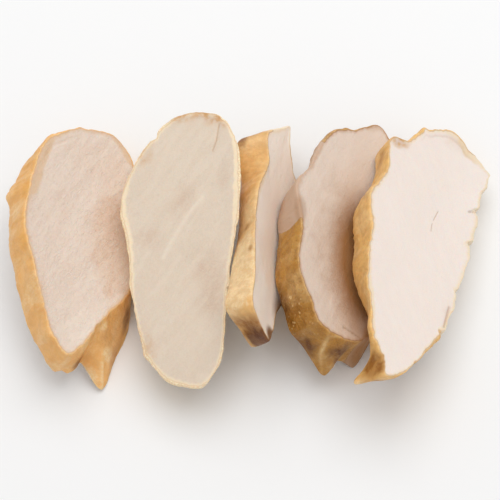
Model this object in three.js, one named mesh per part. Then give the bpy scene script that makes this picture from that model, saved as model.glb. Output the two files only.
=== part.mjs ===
// Smoked chicken breast: the thick middle of one boneless breast, cut straight across into five
// slices. The slices have toppled one against the next, like dominoes, and the second lies over
// the first. Millimetres, +Z up, the slices stand in a row along X with their skin sides to -X.
//
// Each slice is a slab of meat with its own directions: across runs from the skin side to the
// under side, along runs from the near end to the far end, and depth runs from the front cut face
// (0) back to the rear cut face (-thickness). The rim between the two faces is the outside of the
// breast.
import * as THREE from "three";

// Driving dimensions
const HALF_WIDTH = 20; // across, from a slice's middle line to its skin side
const HALF_LENGTH = 50; // along, from a slice's middle line to one end
const EDGE_RADIUS = 1; // how far the rim is rounded where the knife came out
const RIM_SQUARENESS = 0.7; // 1 is a half-round rim, less is a squarer one
const RIM_FULLNESS = 0.5; // how soon the rounding reaches its full reach, 1 is as late as a circle
const RIM_LAG = 1.2; // above 1, the rim keeps to the front edge before it turns to the rear edge
const SETTLE_HEIGHT = 0.8; // meat lower than this has flattened on what it lies on
const RIM_WAVES = [
  { height: 0.35, turns: 5, lag: 2 },
  { height: 0.25, turns: 11, lag: 5 },
  { height: 0.18, turns: 19, lag: 1 },
]; // unevenness of the rim: its height, how often round the edge, and its lag from slice to slice
const FACE_WAVE = { height: 0.3, across: 6, along: 9 }; // unevenness of the cut faces and its reach

// How finely a slice is divided
const AROUND = 72;
const FRONT_RINGS = [0.3, 0.55, 0.76, 0.9, 1];
const RIM_STEPS = 9;
const REAR_RINGS = [1, 0.85, 0.6, 0.32];
const SPLINE_STEPS = 40; // between two outline points
const SMOOTHING_PASSES = 5; // over the outward directions
const FACE_PASSES = 24; // over the edge, for the shape that the rings of a cut face take inside it
const FACE_FADE = 4; // power of the share at which a ring takes on the corners of the edge itself

// The five slices. outline is the edge of the front face as [across, along], anticlockwise from
// the near end. grow is how much larger the rear face is towards the under side, the far end, the
// skin side and the near end, or smaller if negative. pulls are bits of the rear edge that hang
// out, are torn or are tucked in: where, which way and how wide. dish hollows the front face, sag
// lowers both ends, twist turns the far end back.
const SLICES = [
  {
    name: "slice_1",
    place: [-57.5, 1.7, 21],
    lean: 32,
    pitch: 0,
    thickness: 12.5,
    dish: 2.4,
    sag: 0,
    twist: 0,
    grow: { under: 1.5, far: 0.5, skin: 0.8, near: -1 },
    pulls: [
      { at: [13, -27], by: [4.2, -20.5], width: 8 },
      { at: [20, -16], by: [5.2, -9], width: 8 },
      { at: [4, -40], by: [2, -4], width: 5 },
      { at: [-20, 15], by: [-1.7, 0], width: 5 },
      { at: [-13, 36], by: [2.2, -1.4], width: 8 },
      { at: [-9, -40], by: [2, 0.5], width: 6 },
      { at: [-21, -1], by: [1.3, 0], width: 10 },
    ],
    outline: [
      [-2, -46.3],
      [6, -37.5],
      [13, -26.5],
      [20, -17],
      [23.5, 4],
      [22.5, 22],
      [18.8, 37.5],
      [11.5, 44.5],
      [2, 44],
      [-6, 41],
      [-15.2, 33],
      [-19.5, 18],
      [-21, -2],
      [-17, -15.5],
      [-12.5, -30],
      [-8.5, -40],
    ],
    colour: 0xd9c0ae,
  },
  {
    name: "slice_2",
    place: [-22.8, -6.4, 24.4],
    lean: -13,
    pitch: 8,
    thickness: 12,
    dish: 0.5,
    sag: 2,
    twist: 0,
    grow: { under: -9, far: -1, skin: -1, near: -5 },
    pulls: [],
    outline: [
      [5.8, -48],
      [11.6, -42],
      [14, -31],
      [15, -20],
      [16.5, -11],
      [20.3, 12],
      [20.9, 26],
      [19.6, 41],
      [13, 50.6],
      [0, 51.9],
      [-9.5, 44.8],
      [-16.5, 35.3],
      [-21.7, 21.5],
      [-19.3, 5],
      [-17.9, -16],
      [-13.9, -34],
      [-10, -41],
      [-4, -45.9],
    ],
    colour: 0xdccdb8,
  },
  {
    name: "slice_3",
    place: [7.4, 0.4, 23.5],
    lean: 62,
    pitch: 0,
    thickness: 10.5,
    dish: 1,
    sag: 0,
    twist: 3,
    grow: { under: 0, far: 0, skin: 0, near: 0 },
    pulls: [
      { at: [-12, 3], by: [7.5, 0], width: 22 },
      { at: [-3, 34], by: [-3.5, -1], width: 10 },
      { at: [3, 46], by: [0, -1.5], width: 6 },
      { at: [-10, -39], by: [1, 3], width: 9 },
      { at: [-1, -38], by: [11, 4.5], width: 11 },
    ],
    outline: [
      [-3.8, -42.3],
      [0.8, -36],
      [4, -28],
      [11, -20],
      [19, -8],
      [21, 8],
      [16.5, 27],
      [12, 42],
      [11, 49.5],
      [4, 45.5],
      [-2.6, 40],
      [-2.8, 27.5],
      [-9, 15.2],
      [-13, 0],
      [-15.1, -23],
      [-18, -35.3],
    ],
    colour: 0xe5d6c8,
  },
  {
    name: "slice_4",
    place: [29, 0.9, 22.5],
    lean: 34,
    pitch: 0,
    thickness: 13.5,
    dish: 1.8,
    sag: 0,
    twist: 3,
    grow: { under: 0, far: 0, skin: 0, near: 0 },
    pulls: [
      { at: [-9, 29], by: [6.5, -2], width: 13 },
      { at: [-15, 14], by: [1.8, 0], width: 7 },
      { at: [1, -38.4], by: [2.4, -7], width: 6 },
      { at: [-10, -33], by: [-1.5, 0], width: 6 },
      { at: [-6, -38], by: [0, 1.5], width: 4 },
      { at: [18, -29], by: [1, -9], width: 8 },
    ],
    outline: [
      [-3.5, -38.8],
      [9, -38],
      [19, -28],
      [24, -12],
      [26, 8],
      [27, 28],
      [24.5, 42],
      [18, 49.6],
      [8, 45.6],
      [1, 43.2],
      [-4, 37.5],
      [-10, 25.5],
      [-16, 15.5],
      [-14.8, -1.4],
      [-17, -17.5],
      [-12.3, -29.5],
      [-9, -36.5],
    ],
    colour: 0xe0d0bf,
  },
  {
    name: "slice_5",
    place: [58.9, -4.6, 22],
    lean: 26,
    pitch: 0,
    thickness: 12.5,
    dish: 0.6,
    sag: 0,
    twist: 0,
    grow: { under: 0, far: 0, skin: 0, near: -4 },
    pulls: [
      { at: [-22.5, -26], by: [7, 0], width: 13 },
      { at: [-21.5, -36], by: [4, 0], width: 6 },
      { at: [-18, -47.8], by: [-6, -1], width: 5 },
      { at: [-6, -47], by: [-1, 3], width: 5 },
      { at: [-13, 35], by: [1.6, 0], width: 8 },
      { at: [-20, 18], by: [1.6, 0], width: 6 },
    ],
    outline: [
      [-17.5, -50.8],
      [-10, -48.7],
      [-4.5, -42.3],
      [4.8, -31],
      [10.7, -17.5],
      [17, -1],
      [24.5, 27],
      [28.2, 37.5],
      [21.8, 45],
      [13.5, 51.8],
      [2.5, 49],
      [-5, 43.5],
      [-11.8, 42],
      [-14, 28.5],
      [-20.8, 17.5],
      [-21, 5],
      [-23.3, -14],
      [-22.8, -27],
      [-21.8, -37.5],
      [-18.4, -44.6],
    ],
    colour: 0xf1e4da,
  },
];

// The front edge as evenly spaced points on one smooth closed curve.
function frontEdge(outline) {
  const corners = outline.map(([across, along]) => new THREE.Vector3(across, along, 0));
  const curve = new THREE.CatmullRomCurve3(corners, true, "centripetal");
  curve.arcLengthDivisions = SPLINE_STEPS * corners.length;
  return curve.getSpacedPoints(AROUND).slice(0, AROUND);
}

// Which way is out of the slice at each point of its edge, smoothed over the neighbours.
function outwardDirections(edge) {
  const n = edge.length;
  let out = edge.map((_, i) => {
    const step = edge[(i + 1) % n].clone().sub(edge[(i + n - 1) % n]);
    return new THREE.Vector3(step.y, -step.x, 0).normalize();
  });
  for (let pass = 0; pass < SMOOTHING_PASSES; pass += 1) {
    out = out.map((v, i) => v.clone().add(out[(i + 1) % n]).add(out[(i + n - 1) % n]).normalize());
  }
  return out;
}

// The edge with its corners and tears smoothed away.
function softened(edge) {
  const n = edge.length;
  let soft = edge;
  for (let pass = 0; pass < FACE_PASSES; pass += 1) {
    soft = soft.map((v, i) => v.clone().add(soft[(i + 1) % n]).add(soft[(i + n - 1) % n]).divideScalar(3));
  }
  return soft;
}

// How far the rear edge stands out past the front edge on the side that faces the direction out.
function growth(grow, out) {
  const side = (amount, facing) => amount * Math.max(facing, 0) ** 2;
  return (
    side(grow.under, out.x) + side(grow.far, out.y) + side(grow.skin, -out.x) + side(grow.near, -out.y)
  );
}

// A point of the rear face, drawn out where the meat hangs or is torn.
function pulled(slice, point) {
  const moved = point.clone();
  for (const pull of slice.pulls) {
    const away = Math.hypot(point.x - pull.at[0], point.y - pull.at[1]) / pull.width;
    const share = Math.exp(-away * away);
    moved.x += share * pull.by[0];
    moved.y += share * pull.by[1];
  }
  return moved;
}

// Unevenness of the rim: waves round the edge, out of step from slice to slice.
function rimWave(turn, which) {
  const heights = RIM_WAVES.map((w) => w.height * Math.sin(w.turns * turn + w.lag * which));
  return heights.reduce((sum, height) => sum + height, 0);
}

// Unevenness of a cut face, fading to nothing at its edge.
function faceWave(point, share, which) {
  const acrossWave = Math.sin(point.x / FACE_WAVE.across + 2 * which);
  const alongWave = Math.cos(point.y / FACE_WAVE.along + which);
  return FACE_WAVE.height * acrossWave * alongWave * (1 - share * share);
}

// Bends the whole slab: its ends droop, and its far end turns against its near end.
function bend(slice, point) {
  const along = point.y / HALF_LENGTH;
  const across = point.x / HALF_WIDTH;
  return slice.twist * across * along - slice.sag * along * along;
}

// Rings of points from the middle of the front face, over the rim, to the middle of the rear face.
function sliceRings(slice, which) {
  const front = frontEdge(slice.outline);
  const out = outwardDirections(front);
  const grown = front.map((p, i) => p.clone().addScaledVector(out[i], growth(slice.grow, out[i])));
  const rear = grown.map((p) => pulled(slice, p));
  const inset = (edge) => edge.map((p, i) => p.clone().addScaledVector(out[i], -EDGE_RADIUS));
  const middleOf = (edge) => edge.reduce((sum, p) => sum.add(p), new THREE.Vector3()).divideScalar(AROUND);
  const facePoint = (q, share, depthAt) =>
    q.setZ(depthAt(share) + faceWave(q, share, which) + bend(slice, q));
  const ringPoints = (edge, share) => {
    const [soft, middle] = [softened(edge), middleOf(edge)];
    const corner = (i) => edge[i].clone().sub(soft[i]).multiplyScalar(share ** FACE_FADE);
    return edge.map((_, i) => middle.clone().lerp(soft[i], share).add(corner(i)));
  };

  const frontDepth = (share) => -slice.dish * (1 - share * share);
  const rearDepth = () => -slice.thickness;
  const frontInset = inset(front);
  const rings = [[facePoint(middleOf(frontInset), 0, frontDepth)]];
  for (const share of FRONT_RINGS) {
    rings.push(ringPoints(frontInset, share).map((q) => facePoint(q, share, frontDepth)));
  }
  for (let step = 1; step < RIM_STEPS; step += 1) {
    const angle = (Math.PI * step) / RIM_STEPS;
    const cosine = Math.cos(angle);
    const share = (1 - Math.sign(cosine) * Math.abs(cosine) ** RIM_SQUARENESS) / 2;
    const reach = Math.sin(angle) ** RIM_FULLNESS;
    rings.push(
      front.map((p, i) => {
        const wave = rimWave((2 * Math.PI * i) / AROUND, which) * reach;
        const stand = EDGE_RADIUS * (reach - 1) + wave;
        const q = p.clone().lerp(rear[i], share ** RIM_LAG).addScaledVector(out[i], stand);
        return q.setZ(-slice.thickness * share + bend(slice, q));
      }),
    );
  }
  const rearInset = inset(grown);
  for (const share of REAR_RINGS) {
    const points = ringPoints(rearInset, share).map((q) => pulled(slice, q));
    rings.push(points.map((q) => facePoint(q, share, rearDepth)));
  }
  rings.push([facePoint(pulled(slice, middleOf(rearInset)), 0, rearDepth)]);
  return rings;
}

// Where a height would come below the settling height, it is squeezed towards the resting plane.
function settle(height) {
  if (height >= SETTLE_HEIGHT) return height;
  return SETTLE_HEIGHT * Math.exp((height - SETTLE_HEIGHT) / SETTLE_HEIGHT);
}

// Joins the rings into one closed skin, with a fan of triangles at each middle.
function closedGeometry(rings) {
  const positions = rings.flat().flatMap((p) => [p.x, p.y, p.z]);
  const last = rings.length - 1;
  const rearMiddle = 1 + (last - 1) * AROUND;
  const at = (ring, i) => 1 + (ring - 1) * AROUND + (i % AROUND);
  const index = [];
  for (let i = 0; i < AROUND; i += 1) {
    index.push(0, at(1, i), at(1, i + 1));
    for (let ring = 1; ring < last - 1; ring += 1) {
      index.push(at(ring, i), at(ring + 1, i), at(ring + 1, i + 1));
      index.push(at(ring, i), at(ring + 1, i + 1), at(ring, i + 1));
    }
    index.push(at(last - 1, i), rearMiddle, at(last - 1, i + 1));
  }
  const geometry = new THREE.BufferGeometry();
  geometry.setAttribute("position", new THREE.Float32BufferAttribute(positions, 3));
  geometry.setIndex(index);
  geometry.computeVertexNormals();
  return geometry;
}

// One slice as a mesh that stands in its place, leaning on the one before it.
function makeSlice(slice, which) {
  const mesh = new THREE.Mesh();
  mesh.name = slice.name;
  mesh.position.set(...slice.place);
  mesh.rotation.set(0, THREE.MathUtils.degToRad(slice.lean), 0);
  mesh.rotateX(THREE.MathUtils.degToRad(slice.pitch));
  mesh.updateMatrix();
  const back = mesh.matrix.clone().invert();
  const rings = sliceRings(slice, which);
  for (const point of rings.flat()) {
    point.applyMatrix4(mesh.matrix);
    point.z = settle(point.z);
    point.applyMatrix4(back);
  }
  mesh.geometry = closedGeometry(rings);
  mesh.material = new THREE.MeshStandardMaterial({ color: slice.colour, roughness: 0.5, metalness: 0 });
  return mesh;
}

// The row of slices, set so that the origin is under the middle of the whole.
function makeBreast() {
  const row = new THREE.Group();
  SLICES.forEach((slice, which) => row.add(makeSlice(slice, which + 1)));
  const box = new THREE.Box3().setFromObject(row, true);
  row.position.set(-(box.min.x + box.max.x) / 2, -(box.min.y + box.max.y) / 2, -box.min.z);
  const breast = new THREE.Group();
  breast.add(row);
  return breast;
}

const group = makeBreast();
export default group;
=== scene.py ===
# Sliced smoked chicken breast, dressed: five slices of cut meat with smoked skin round their rims.
#
# Each slice is one closed surface of two parameters: turn, once round the slice, and way, from the
# middle of the front cut face over the rim to the middle of the rear cut face. Its own directions are
# across (from the skin side to the under side), along (from the near end to the far end) and depth
# (0 at the front cut face, -thickness at the rear). Shapes are worked out in millimetres in the
# slice's own directions, then leant into the row and written to the mesh in metres.
import math
from collections import namedtuple
from itertools import product

import bpy
import numpy as np
from mathutils import Matrix, Vector


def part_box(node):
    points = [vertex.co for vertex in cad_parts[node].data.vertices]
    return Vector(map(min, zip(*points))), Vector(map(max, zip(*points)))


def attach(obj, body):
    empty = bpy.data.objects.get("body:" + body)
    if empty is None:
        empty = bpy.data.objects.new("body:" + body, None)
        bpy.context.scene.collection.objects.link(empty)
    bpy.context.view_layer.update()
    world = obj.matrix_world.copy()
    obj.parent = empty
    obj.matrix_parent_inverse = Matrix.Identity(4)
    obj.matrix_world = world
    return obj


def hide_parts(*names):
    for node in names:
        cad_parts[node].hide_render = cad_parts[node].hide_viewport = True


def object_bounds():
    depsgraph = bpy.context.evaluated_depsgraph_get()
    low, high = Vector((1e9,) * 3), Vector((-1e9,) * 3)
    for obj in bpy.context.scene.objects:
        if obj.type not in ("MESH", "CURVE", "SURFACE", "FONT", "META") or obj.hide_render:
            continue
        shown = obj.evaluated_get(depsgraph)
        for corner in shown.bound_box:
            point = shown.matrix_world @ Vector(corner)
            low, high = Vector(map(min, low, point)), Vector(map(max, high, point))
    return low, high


bl_info = {
    "name": "Sliced smoked chicken breast",
    "version": (1, 0, 0),
    "blender": (4, 5, 0),
    "location": "3D View > Sidebar > Chicken",
    "description": "Five slices of smoked chicken breast with fibrous cut faces, skin and browned ends",
    "category": "Add Mesh",
}

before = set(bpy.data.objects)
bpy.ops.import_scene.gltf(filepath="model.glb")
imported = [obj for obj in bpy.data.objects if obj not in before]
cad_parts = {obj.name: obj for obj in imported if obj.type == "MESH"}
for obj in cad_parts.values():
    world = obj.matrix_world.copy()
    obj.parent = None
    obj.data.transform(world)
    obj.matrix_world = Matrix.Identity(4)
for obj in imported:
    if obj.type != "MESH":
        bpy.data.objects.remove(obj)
CAD_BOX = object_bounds()
MM = 0.001

# Driving dimensions, the same as the solids'
HALF_WIDTH = 20  # across, from a slice's middle line to its skin side
HALF_LENGTH = 50  # along, from a slice's middle line to one end
EDGE_RADIUS = 1  # how far the rim is rounded where the knife came out
RIM_SQUARENESS = 0.7
RIM_FULLNESS = 0.5
RIM_LAG = 1.2
SETTLE_HEIGHT = 0.8  # meat lower than this has flattened on what it lies on
RIM_WAVES = [(0.35, 5, 2), (0.25, 11, 5), (0.18, 19, 1)]  # height, turns, lag from slice to slice
FACE_WAVE = (0.3, 6, 9)  # height, reach across, reach along
OUTWARD_REACH = 1 / 37.6  # smoothing of the outward directions, as a share of the whole edge
FACE_REACH = 1 / 18  # smoothing of the shape that the rings of a cut face take inside its edge
FACE_FADE = 4  # power of the share at which a ring takes on the corners of the edge itself

# How finely a slice is divided
AROUND = 576
FACE_RINGS = 74
RIM_RINGS = 52
REAR_RINGS = 34
SPLINE_STEPS = 40
PROFILE_STEPS = 2001  # for measuring the rim's profile
LATTICE = 32  # random numbers along each side of a noise's cube, which then repeats

# Fine relief
LIP_WIDTH = 0.9  # how far from the edge the face turns up where the skin has pulled
FIBRE_SIZE = (1.3, 5.0, 3.0)  # across, along and through the fibres
BUNDLE_SIZE = (4.0, 16.0, 8.0)
BUNDLE_HEIGHT = 1.6  # against that of single fibres
GRAIN_SIZE = 1.6
WRINKLE_SIZE = (3.4, 3.4, 6.0)
PIMPLE_SIZE = 1.3
FACE_CALM = 2  # how far inside the cut edge the face's relief reaches its full height
SKIN_CALM = 1.5  # the same outside the cut edge, for the skin's
BARE_CALM = 0.7  # how much flatter bare rim is than skin
WANDER, WANDER_SIZE = 0.6, 6  # how far fibres and seams stray, and over what distance
SEAM_WANDER = 0.5  # how much of the straying a seam takes up
SEAM_COLOUR = 0.5  # how dark a seam is against a crack
RAGGED_SIZES = [(3.2, 0.6), (1.1, 0.4)]  # size of the edge's unevenness and its share

# Spots and edges of the finishes
SPOT_WOBBLE, SPOT_WOBBLE_SIZE = 0.16, 3  # unevenness of a spot's outline, as a share of its radius
RIND_REACH = 4  # how far a full spot of rind draws the rind in over the face
BARE_MARGIN = 0.6  # how far inside the cut edge bare rim keeps the skin away
EDGES = {
    "skin": ("rim", 0.15, 0.9, 0.25),
    "rind": ("rind", -0.7, 1.6, 0.9),
    "outline": ("rim", -0.2, 0.9, 0.25),
}  # which distance each starts by, where it starts, how ragged it is and how soft
EDGE_NOISE = (1.6, 4, 0.3)  # size, detail and distortion of their unevenness
NOISES = {
    "threads": ((0.5, 2.2, 1.2), 3, 0.8, 0.5, 0.72),
    "places": (6, 2, 0, 0.45, 0.6),
    "bands": ((4, 20, 9), 3, 0.6, 0.42, 0.66),
    "specks": ((0.4, 0.8, 0.6), 1, 0, 0.7, 0.77),
    "mottle": (2.6, 4, 0.3, 0.36, 0.66),
    "patches": ((5, 9, 14), 3, 0.5, 0.42, 0.68),
    "grain": (0.6, 3, 0, 0.36, 0.64),
    "pores": (0.9, 2, 0, 0.35, 0.6),
}  # size of each, its detail and distortion, and which of its values become 0 and 1
DOT_SPACING, DOT_EDGE = 1.7, (0.12, 0.3)  # the edge is from and to which share of the spacing
MEAT_MOTTLE, SKIN_MOTTLE = (0.25, 0.8), (0.35, 0.75)  # how much mottling adds to the least share
LIGHT_EDGE = (0.3, 1.0, 0.45)  # where skin stops being lighter by the cut edge, and the share there
# how fully the painted shade covers the colour where its mask is full
SHADE_SHARE = 0.95
JUICE = (250, 244, 236)
ROUGHNESS = {"meat": 0.5, "juice": -0.25, "skin": 0.46, "gloss": -0.16}
SOFT_BODY = {
    "IOR": 1.42, "Subsurface Weight": 0.22, "Subsurface Radius": (1.0, 0.55, 0.35),
    "Subsurface Scale": 0.0016,
}
MEAT_BUMP = 0.7  # height of the meat's bump against the skin's
SPECK_BUMP, FINE_BUMP, FINE_BUMP_SIZE = 0.8, 0.5, 0.5  # against the threads' and the pores'
BUMP_STRENGTH, BUMP_HEIGHT = 0.6, 0.0002

# Stage, in metres
KEY_PLACE = (0.1, 0.35, 1.1)
KEY_SIZE = 1.2
FLOOR_RADIUS = 2.5
FLOOR_CORNERS = 96
FLOOR_FINISH = {"Roughness": 0.9, "Specular IOR Level": 0.1}
SENSOR_WIDTH = 36  # millimetres
NEAREST = 0.01  # what is nearer to the camera isn't shown

Pull = namedtuple("Pull", "at by width")  # a torn or hanging bit of the rear edge
Tear = namedtuple("Tear", "at out width")  # a lobe (out > 0) or a nick (out < 0) of an edge
# A spot lies at across, along and a share of the depth, and its amount is full unless it says otherwise
Spot = namedtuple("Spot", "what at size soft amount", defaults=[1])
Line = namedtuple("Line", "what start end wide deep")  # a groove (deep > 0) or a ridge (deep < 0)
Seam = namedtuple("Seam", "inset at size wide deep")  # a groove that follows the edge


def srgb(red, green, blue):
    """A colour as Blender mixes it, from the values 0 to 255 of a display."""
    shown = np.array([red, green, blue]) / 255
    light = np.where(shown > 0.04045, ((shown + 0.055) / 1.055) ** 2.4, shown / 12.92)
    return tuple(float(v) for v in light)


# The slices, from the left. outline is the edge of the front face as across and along, anticlockwise
# from the near end, and grow is how much larger the rear face is to each side. colours are as a display
# shows them, and finish holds shares of the effects that the relief and the finishes have.
SLICE_1 = {
    "slot": "rosy_meat", "place": (-57.5, 1.7, 21), "lean": 32, "thickness": 12.5, "dish": 2.4,
    "grow": {"under": 1.5, "far": 0.5, "skin": 0.8, "near": -1},
    "pulls": [
        Pull((13, -27), (4.2, -20.5), 8), Pull((20, -16), (5.2, -9), 8), Pull((4, -40), (2, -4), 5),
        Pull((-20, 15), (-1.7, 0), 5), Pull((-13, 36), (2.2, -1.4), 8), Pull((-9, -40), (2, 0.5), 6),
        Pull((-21, -1), (1.3, 0), 10),
    ],
    "outline": [
        (-2, -46.3), (6, -37.5), (13, -26.5), (20, -17), (23.5, 4), (22.5, 22), (18.8, 37.5),
        (11.5, 44.5), (2, 44), (-6, 41), (-15.2, 33), (-19.5, 18), (-21, -2), (-17, -15.5), (-12.5, -30),
        (-8.5, -40),
    ],
    "tears": [Tear((-2, 43.5), 0.6, 1.6), Tear((9, -33), -0.5, 1.5), Tear((3, -40.5), 0.4, 1.5)],
    "rear_tears": [Tear((-21.5, 14), 0.8, 1.5), Tear((-0.5, -46), 1, 1.5), Tear((4, -45), 0.8, 1.2)],
    "ragged": 0.35, "fibre_turn": 30,
    "spots": [
        # The hollow at the right: partly pinker meat and partly painted shade that slice 2 casts into it
        Spot("flush", (16.5, 1, 0), (14.5, 23, 9), 0.25),
        Spot("flush", (-18.5, 13, 0), (3.5, 12, 3), 1, 0.5),
        Spot("flush", (-12.5, -25, 0), (3, 9, 3), 1, 0.7),
        Spot("flush", (4, 33, 0), (16, 11, 9), 1, 0.45), Spot("flush", (-6, 12, 0), (5, 9, 9), 1, 0.25),
        Spot("pale", (2, -34, 0), (10, 13, 6), 1, 0.5),
        Spot("pale", (11.5, -30.5, 0.15), (2.5, 4, 2.5), 0.8, 0.8),
        Spot("pale", (16.5, -37.5, 0.6), (4, 3.5, 4), 0.7),
        Spot("pale", (12.5, -45, 0.95), (5, 5, 3), 0.7, 0.9),
        Spot("rind", (-16, 24, 0), (8, 19, 9), 0.7, 0.9), Spot("rind", (17, 40, 0), (8, 9, 9), 0.8, 0.35),
        Spot("gold", (-20.5, 12, 0.15), (4, 9, 4), 0.9, 0.7),
        Spot("gold", (-19, 25, 0.4), (7, 14, 9), 1, 0.8),
        Spot("gold", (-20, -6, 0.15), (4, 8, 4), 0.9, 0.6),
        Spot("brown", (13.5, -32, 0.4), (4, 7, 4.5), 0.8, 0.5),
        # At the near end and on the tail's right, the brown and dark are partly browning and partly
        # painted shade, above the flap and in the fold
        Spot("brown", (6, -42, 0.65), (5, 4, 5), 0.7),
        Spot("dark", (6, -42.5, 0.75), (3.5, 3, 3.5), 0.8, 0.9),
        Spot("dark", (22.2, -23, 0.45), (3, 8, 6), 0.8, 0.8),
        Spot("brown", (21.5, -37, 0.8), (4.5, 10, 5), 0.9, 0.9),
    ],
    "lines": [
        Line("pale", (14.5, -40, 0.68), (17, -48, 0.95), 0.7, -0.5),
        Line("pale", (0, -45.5, 0.72), (5, -43.5, 0.8), 0.5, -0.3),
    ],
    "seams": [Seam(2.6, (-12, 36), (12, 16), 0.35, 0.3)],
    "colours": {
        "meat": (225, 204, 188), "flush": (217, 187, 164), "streak": (238, 224, 209),
        "rind": (222, 190, 156), "skin": (240, 184, 114), "skin_light": (250, 222, 174),
        "gold": (236, 172, 80), "brown": (205, 150, 90), "dark": (138, 88, 42),
    },
    "finish": {
        "bands": 0.35, "fibres": 0.6, "specks": 0.3, "grain": 0.3, "relief": 1.3, "skin_relief": 0.6,
        "lip": 1, "mottle": 0.3, "outline": 0.4,
    },
}

SLICE_2 = {
    "slot": "beige_meat", "place": (-22.8, -6.4, 24.4), "lean": -13, "pitch": 8, "thickness": 12,
    "dish": 0.5, "sag": 2,
    "grow": {"under": -9, "far": -1, "skin": -1, "near": -5},
    "outline": [
        (5.8, -48), (11.6, -42), (14, -31), (15, -20), (16.5, -11), (20.3, 12), (20.9, 26), (19.6, 41),
        (13, 50.6), (0, 51.9), (-9.5, 44.8), (-16.5, 35.3), (-21.7, 21.5), (-19.3, 5), (-17.9, -16),
        (-13.9, -34), (-10, -41), (-4, -45.9),
    ],
    "tears": [Tear((-10, 44.8), -1.3, 1.3), Tear((-7, 47.5), 0.4, 2), Tear((-14, -35), 0.4, 1.5)],
    "ragged": 0.35, "fibre_turn": 38,
    "spots": [
        Spot("flush", (9.5, -12, 0), (8.5, 19, 6), 1), Spot("flush", (1, 18, 0), (8, 10, 6), 1, 0.75),
        Spot("flush", (-11, 6.3, 0), (8, 6, 6), 1, 0.7), Spot("flush", (15, 26, 0), (4, 8, 6), 1, 0.6),
        Spot("rind", (-21, 6, 0), (6, 42, 9), 0.8, 0.35),
        Spot("rind", (20, 24, 0), (5, 34, 9), 0.8, 0.45), Spot("tan", (-1, 52, 0), (14, 5.5, 5), 0.8),
        Spot("tan", (14, 50, 0), (10, 7, 5), 0.7), Spot("tan", (-13, -36, 0), (5, 13, 4), 1, 0.5),
        Spot("tan", (-13, 38, 0), (5, 8, 4), 1, 0.5), Spot("pale", (7, -45, 0), (6, 3.5, 4), 0.8, 0.6),
        Spot("brown", (4, 51, 0.1), (18, 5.5, 9), 0.9, 0.6),
        Spot("brown", (-16, -36, 0.3), (5, 12, 9), 0.9, 0.4),
        Spot("gold", (-20, 24, 0.1), (4, 12, 5), 1, 0.6),
        Spot("dark", (15.4, -15, 0.05), (0.8, 1.1, 1), 0.5, 0.6),
    ],
    "lines": [
        Line("crack", (13.6, 46), (12.6, 40), 0.3, 0.25), Line("crack", (12.6, 40), (11.2, 36), 0.3, 0.2),
        Line("pale", (7.3, 18.7), (3, 14), 0.8, -0.05), Line("pale", (3, 14), (-4.1, 3.2), 0.8, -0.05),
        Line("pale", (-4.1, 3.2), (-6.6, -1.6), 0.8, -0.05),
    ],
    "colours": {
        "meat": (219, 201, 181), "flush": (206, 180, 158), "streak": (231, 216, 197),
        "rind": (246, 226, 192), "skin": (252, 232, 194), "skin_light": (253, 238, 208),
        "gold": (210, 152, 82), "brown": (184, 132, 74),
    },
    "finish": {
        "bands": 0.3, "fibres": 0.15, "specks": 0.08, "grain": 0.25, "relief": 0.7, "skin_relief": 0.35,
        "lip": 0, "mottle": 0.1, "outline": 0.35,
    },
}

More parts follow.
